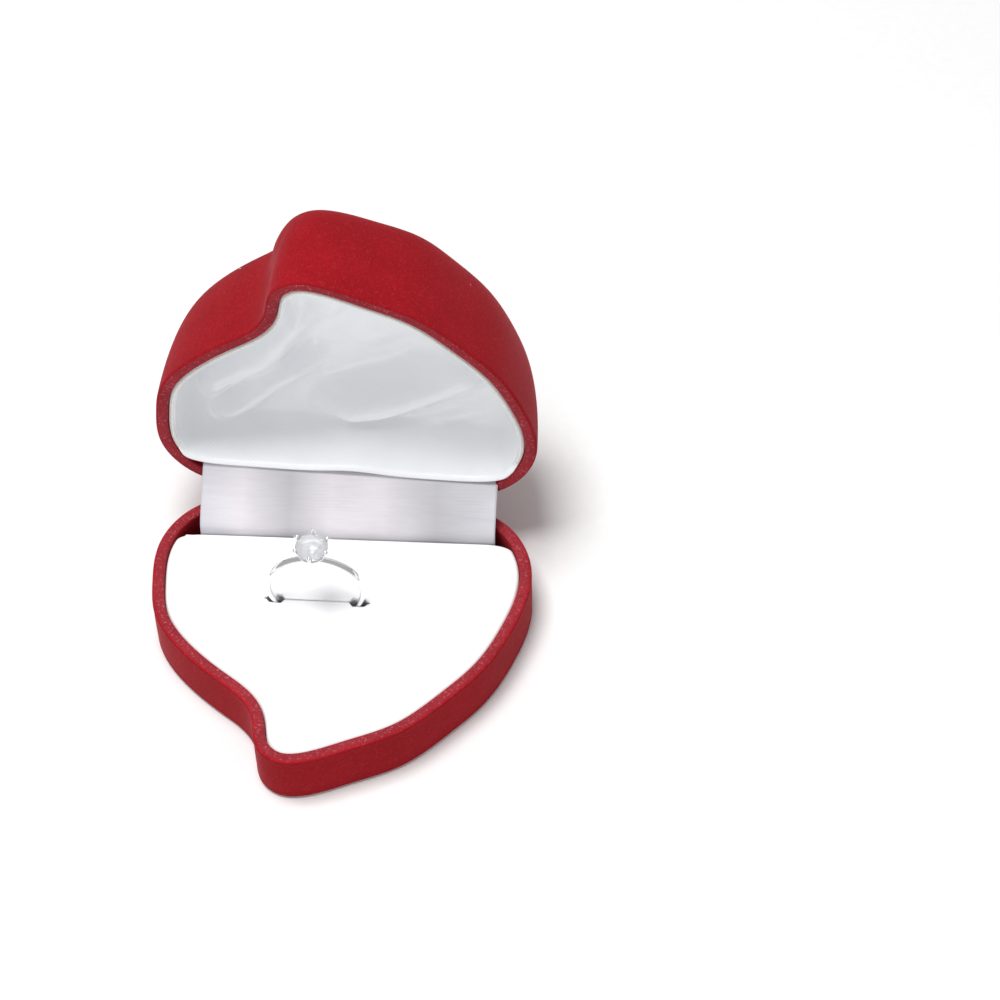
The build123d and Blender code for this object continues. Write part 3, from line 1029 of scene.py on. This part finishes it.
def blended(nodes, links, share, first, second, mode="MIX"):
    node = nodes.new("ShaderNodeMix")
    node.data_type = "RGBA"
    node.blend_type = mode
    for socket, value in ((node.inputs[0], share), (node.inputs[6], first), (node.inputs[7], second)):
        if isinstance(value, bpy.types.NodeSocket):
            links.new(value, socket)
        elif isinstance(value, (int, float)):
            socket.default_value = value
        else:
            socket.default_value = (*value, 1)
    return node.outputs[2]


def bumped(nodes, links, shader, layers):
    """Chains bump layers of (height, strength, distance in mm) into the shader."""
    normal = None
    for height, strength, distance in layers:
        node = nodes.new("ShaderNodeBump")
        node.inputs["Strength"].default_value = strength
        node.inputs["Distance"].default_value = distance * MM
        links.new(height, node.inputs["Height"])
        if normal is not None:
            links.new(normal, node.inputs["Normal"])
        normal = node.outputs["Normal"]
    links.new(normal, shader.inputs["Normal"])


def flock(name, low, high, speck_share):
    """Short red nylon fibres: matt, a soft pale sheen at the edges, worn and brushed patches."""
    material, nodes, links, shader = new_material(name)
    vector = coordinates(nodes, links)
    patches = noise(nodes, links, vector, 9.0, 3.0)
    brushed = noise(nodes, links, coordinates(nodes, links, (1, 1, 3.0), (0.4, 0.2, 0.6)), 1.8, 3.0)
    fibres = noise(nodes, links, vector, 0.34, 2.0, 0.75)
    specks = noise(nodes, links, vector, 0.55, 2.0, 0.8)
    base = ramp(nodes, links, patches, [(0.3, low), (0.7, high)])
    streak = ramp(nodes, links, brushed, [(0.35, (0.86, 0.86, 0.86)), (0.65, (1.0, 1.0, 1.0))])
    base = blended(nodes, links, 0.5, base, streak, "MULTIPLY")
    pile = ramp(nodes, links, fibres, [(0.3, (0.62, 0.6, 0.6)), (0.68, (1.0, 1.0, 1.0))])
    base = blended(nodes, links, 0.8, base, pile, "MULTIPLY")
    pale = ramp(nodes, links, specks, [(0.56, (0, 0, 0)), (0.68, (1, 1, 1))])
    share = nodes.new("ShaderNodeMath")
    share.operation = "MULTIPLY"
    share.inputs[1].default_value = speck_share
    links.new(pale, share.inputs[0])
    base = blended(nodes, links, share.outputs[0], base, (0.60, 0.16, 0.19))
    links.new(base, shader.inputs["Base Color"])
    set_inputs(shader, Roughness=0.92, Specular_IOR_Level=0.15, Sheen_Weight=0.16,
               Sheen_Roughness=0.35, Sheen_Tint=(1.0, 0.30, 0.34, 1))
    bumped(nodes, links, shader, [(brushed, 0.12, 0.5), (fibres, 0.5, 0.12)])
    return material


def velvet():
    """White flocked velvet: matt, with a faint unevenness and a sheen at grazing angles."""
    material, nodes, links, shader = new_material("white_velvet")
    vector = coordinates(nodes, links)
    patches = noise(nodes, links, vector, 7.0, 3.0)
    fibres = noise(nodes, links, vector, 0.25, 2.0, 0.7)
    base = ramp(nodes, links, patches, [(0.3, (0.90, 0.90, 0.91)), (0.7, (0.94, 0.94, 0.95))])
    pile = greys(nodes, links, fibres, 0.95, 1.0)
    links.new(blended(nodes, links, 0.6, base, pile, "MULTIPLY"), shader.inputs["Base Color"])
    set_inputs(shader, Roughness=0.9, Specular_IOR_Level=0.2, Sheen_Weight=0.5, Sheen_Roughness=0.4)
    bumped(nodes, links, shader, [(patches, 0.08, 0.6), (fibres, 0.25, 0.08)])
    return material


def satin():
    """White polyester satin with a fine diagonal twill and slight uneven gloss."""
    material, nodes, links, shader = new_material("white_satin")
    vector = coordinates(nodes, links)
    twill = bands(nodes, links, vector, 0.5, "DIAGONAL", 1.2)
    cross = bands(nodes, links, vector, 0.45, "Z", 0.8)
    cloudy = noise(nodes, links, vector, 8.0, 3.0)
    base = ramp(nodes, links, cloudy, [(0.3, (0.89, 0.905, 0.925)), (0.7, (0.92, 0.935, 0.955))])
    thread = ramp(nodes, links, twill, [(0.0, (0.95, 0.95, 0.955)), (1.0, (1, 1, 1))])
    links.new(blended(nodes, links, 0.55, base, thread, "MULTIPLY"), shader.inputs["Base Color"])
    gloss = greys(nodes, links, cloudy, 0.30, 0.40)
    links.new(gloss, shader.inputs["Roughness"])
    set_inputs(shader, Specular_IOR_Level=0.6, Sheen_Weight=0.25, Sheen_Roughness=0.3)
    bumped(nodes, links, shader, [(cloudy, 0.12, 0.7), (twill, 0.2, 0.04), (cross, 0.08, 0.03)])
    return material


def ribbon_satin():
    """Pale lavender-grey ribbon, woven across, with broad bands of painted highlight along its length.
    """
    material, nodes, links, shader = new_material("grey_ribbon")
    vector = coordinates(nodes, links)
    weft = bands(nodes, links, vector, 0.38, "Z", 0.5)
    slub = noise(nodes, links, coordinates(nodes, links, (0.12, 1, 1)), 0.7, 3.0)
    cloudy = noise(nodes, links, vector, 11.0, 1.0)
    # The ramp along X paints the light on the ribbon's slack: the bright stops are painted highlights,
    # the grey stops the unlit ribbon between them.
    grey, bright = (0.49, 0.48, 0.51), (0.73, 0.70, 0.74)
    stops = [(0.0, (0.62, 0.61, 0.66)), (0.14, bright), (0.30, grey), (0.44, bright), (0.62, bright),
             (0.80, grey), (1.0, (0.60, 0.60, 0.64))]
    base = ramp(nodes, links, along_x(nodes, links, vector, STRIP_X), stops)
    mottle = ramp(nodes, links, cloudy, [(0.35, (0.93, 0.93, 0.93)), (0.65, (1, 1, 1))])
    base = blended(nodes, links, 0.7, base, mottle, "MULTIPLY")
    thread = greys(nodes, links, slub, 0.92, 1.0)
    links.new(blended(nodes, links, 0.8, base, thread, "MULTIPLY"), shader.inputs["Base Color"])
    gloss = greys(nodes, links, slub, 0.38, 0.52)
    links.new(gloss, shader.inputs["Roughness"])
    set_inputs(shader, Specular_IOR_Level=0.55, Sheen_Weight=0.2, Sheen_Roughness=0.3)
    bumped(nodes, links, shader, [(cloudy, 0.1, 0.6), (slub, 0.15, 0.05), (weft, 0.2, 0.03)])
    return material


def metal(name, colour, roughness, scratch):
    """Plated or polished metal with fine directional scratches."""
    material, nodes, links, shader = new_material(name)
    lines = noise(nodes, links, coordinates(nodes, links, (0.1, 1, 1)), 0.2, 3.0)
    dull = noise(nodes, links, coordinates(nodes, links), 2.5, 3.0)
    tone = ramp(nodes, links, dull, [(0.3, tuple(0.9 * c for c in colour)), (0.7, colour)])
    links.new(tone, shader.inputs["Base Color"])
    gloss = greys(nodes, links, lines, roughness * 0.7, roughness * 1.4)
    links.new(gloss, shader.inputs["Roughness"])
    set_inputs(shader, Metallic=1.0)
    bumped(nodes, links, shader, [(lines, scratch, 0.02)])
    return material


def gem_glass():
    """A clear stone, partly milky so that it stays bright over the white pad."""
    material, nodes, links, shader = new_material("clear_stone")
    haze = noise(nodes, links, coordinates(nodes, links), 1.5, 2.0)
    polish = greys(nodes, links, haze, 0.0, 0.03)
    links.new(polish, shader.inputs["Roughness"])
    set_inputs(shader, Base_Color=(0.97, 0.98, 1.0, 1), IOR=1.5, Transmission_Weight=0.72)
    return material


def pulp(name, dark, light, size_mm, depth_mm):
    """Card, foam or wadding: matt, with fine mottling."""
    material, nodes, links, shader = new_material(name)
    vector = coordinates(nodes, links)
    grain = noise(nodes, links, vector, size_mm, 4.0)
    links.new(ramp(nodes, links, grain, [(0.3, dark), (0.7, light)]), shader.inputs["Base Color"])
    set_inputs(shader, Roughness=0.95, Specular_IOR_Level=0.2)
    bumped(nodes, links, shader, [(grain, 0.4, depth_mm)])
    return material


def dress(piece, *materials):
    """Gives a piece its materials and keeps which faces have which."""
    index = np.zeros(len(piece.data.polygons), np.int32)
    piece.data.polygons.foreach_get("material_index", index)
    piece.data.materials.clear()
    for material in materials:
        piece.data.materials.append(material)
    piece.data.polygons.foreach_set("material_index", np.minimum(index, len(materials) - 1))
    return piece


# ---- the object ----

def add_piece(piece, materials, slot, body, *nodes):
    """Dresses a detailed piece and puts it in the place of its CAD nodes."""
    dress(piece, *materials)
    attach(piece, body)
    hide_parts(*nodes)
    return piece


def build_object():
    red = flock("red_flock", (0.31, 0.0038, 0.009), (0.36, 0.0052, 0.012), 0.08)
    rim = flock("red_flock_rim", (0.30, 0.022, 0.032), (0.37, 0.030, 0.042), 0.5)
    # A brighter copy of the red flock: a painted highlight along the base's outer rim edge.
    painted_edge_highlight = flock("red_flock_painted_highlight", (0.37, 0.010, 0.019), (0.46, 0.018, 0.030), 0.2)
    white = satin()
    steel = metal("plated_steel", (0.62, 0.61, 0.58), 0.34, 0.25)
    silver = metal("polished_silver", (0.93, 0.93, 0.94), 0.09, 0.06)
    card = pulp("grey_card", (0.60, 0.58, 0.54), (0.74, 0.72, 0.68), 0.6, 0.05)
    foam = pulp("white_foam", (0.76, 0.76, 0.74), (0.90, 0.90, 0.89), 0.5, 0.2)

    base = add_piece(base_tray(), (red, rim, painted_edge_highlight), "flock", "base", "base_shell")
    lid = add_piece(lid_dome(), (red, rim), "flock", "lid", "lid_shell")
    soft_layer = cup_layer("wadding_layer", 0.3, 0.35)
    wadding = add_piece(soft_layer, (foam,), "foam", "lid", "lining_wadding")
    add_piece(cup_layer("card_cup", 0.0, 0.25), (card,), "card", "lid", "lining_card")
    lining = add_piece(satin_lining(), (white,), "satin", "lid", "lining_satin")

    pad = add_piece(velvet_pad(), (velvet(),), "velvet", "base", "pad_cover")

    strip = dress(hinge_strip(), ribbon_satin())
    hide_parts("hinge_ribbon")
    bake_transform(strip)

    add_piece(ring_hoop(), (silver,), "silver", "base", "ring_band")
    add_piece(ring_head(), (silver,), "silver", "base", "ring_setting")
    add_piece(ring_gem(), (gem_glass(),), "stone", "base", "ring_stone")

    lint = pulp("white_lint", (0.8, 0.78, 0.78), (0.95, 0.93, 0.93), 0.3, 0.02)
    lint_places = [("base", base, BASE_LINT_ROWS, 4), ("lid", lid, LID_LINT_ROWS, 9)]
    for body, shell, rows, count in lint_places:
        fibres = dress(lint_on(f"lint_{body}", shell, rows, count, 0.4, 1.4), lint)
        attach(fibres, body)

    nodes = frame["nodes"]
    for name in ("hinge_base_leaf", "base_leaf_rivets", "hinge_pin", "snap_spring",
                 "hinge_lid_leaf", "lid_leaf_rivets"):
        dress(nodes[name], steel)
    dress(nodes["pad_card"], card)
    dress(nodes["pad_foam"], foam)


# ---- studio: camera in millimetres, lights in metres and watts ----

CAMERA_PLACE = (64.9, -334.5, 464.4)
CAMERA_FORWARD = (-0.06143, 0.62784, -0.77591)
CAMERA_HEADING = -0.098
CAMERA_ROLL = -0.025
CAMERA_LENS = 105.5


def add_camera():
    """The photograph's view: from the front, well above, with a long lens."""
    forward = Vector(CAMERA_FORWARD).normalized()
    level = Vector((math.cos(CAMERA_HEADING), -math.sin(CAMERA_HEADING), 0))
    upright = level.cross(forward)
    right = level * math.cos(CAMERA_ROLL) + upright * math.sin(CAMERA_ROLL)
    up = upright * math.cos(CAMERA_ROLL) - level * math.sin(CAMERA_ROLL)
    data = bpy.data.cameras.new("camera")
    data.lens = CAMERA_LENS
    data.sensor_width = 36.0
    data.clip_start = 0.01
    camera = bpy.data.objects.new("camera", data)
    turn = Matrix((right, up, -forward)).transposed().to_4x4()
    camera.matrix_world = Matrix.Translation(Vector(CAMERA_PLACE) * MM) @ turn
    bpy.context.scene.collection.objects.link(camera)
    bpy.context.scene.camera = camera


def add_light(name, place, target, size, power, colour=(1, 1, 1)):
    data = bpy.data.lights.new(name, "AREA")
    data.shape = "RECTANGLE"
    data.size, data.size_y = size
    data.energy = power
    data.color = colour
    light = bpy.data.objects.new(name, data)
    light.location = place
    aim = Vector(target) - Vector(place)
    light.rotation_euler = aim.to_track_quat("-Z", "Y").to_euler()
    bpy.context.scene.collection.objects.link(light)


def add_floor():
    """Plain white paper."""
    mesh = bpy.data.meshes.new("floor")
    half = 3.0
    corners = [(-half, -half, 0), (half, -half, 0), (half, half, 0), (-half, half, 0)]
    mesh.from_pydata(corners, [], [(0, 1, 2, 3)])
    floor = bpy.data.objects.new("floor", mesh)
    bpy.context.scene.collection.objects.link(floor)
    material, nodes, links, shader = new_material("paper")
    grain = noise(nodes, links, coordinates(nodes, links), 2.0, 3.0)
    links.new(greys(nodes, links, grain, 0.84, 0.86), shader.inputs["Base Color"])
    set_inputs(shader, Roughness=0.9, Specular_IOR_Level=0.1)
    dress(floor, material)


WORLD_STRENGTH = 0.44
KEY_POWER = 6.8
FILL_POWER = 1.3


def add_studio():
    """A white surround, a key light from overhead and a low fill into the open lid."""
    add_floor()
    world = bpy.data.worlds.new("studio")
    bpy.context.scene.world = world
    world.use_nodes = True
    background = world.node_tree.nodes["Background"]
    background.inputs["Color"].default_value = (1, 1, 1, 1)
    background.inputs["Strength"].default_value = WORLD_STRENGTH
    add_light("key", (-0.13, -0.02, 0.88), (0, 0.01, 0.02), (0.35, 0.35), KEY_POWER)
    add_light("fill", (-0.15, -0.85, 0.40), (0, 0.04, 0.05), (0.3, 0.3), FILL_POWER)
    bpy.context.scene.view_settings.view_transform = "Standard"


build_object()
add_camera()
add_studio()
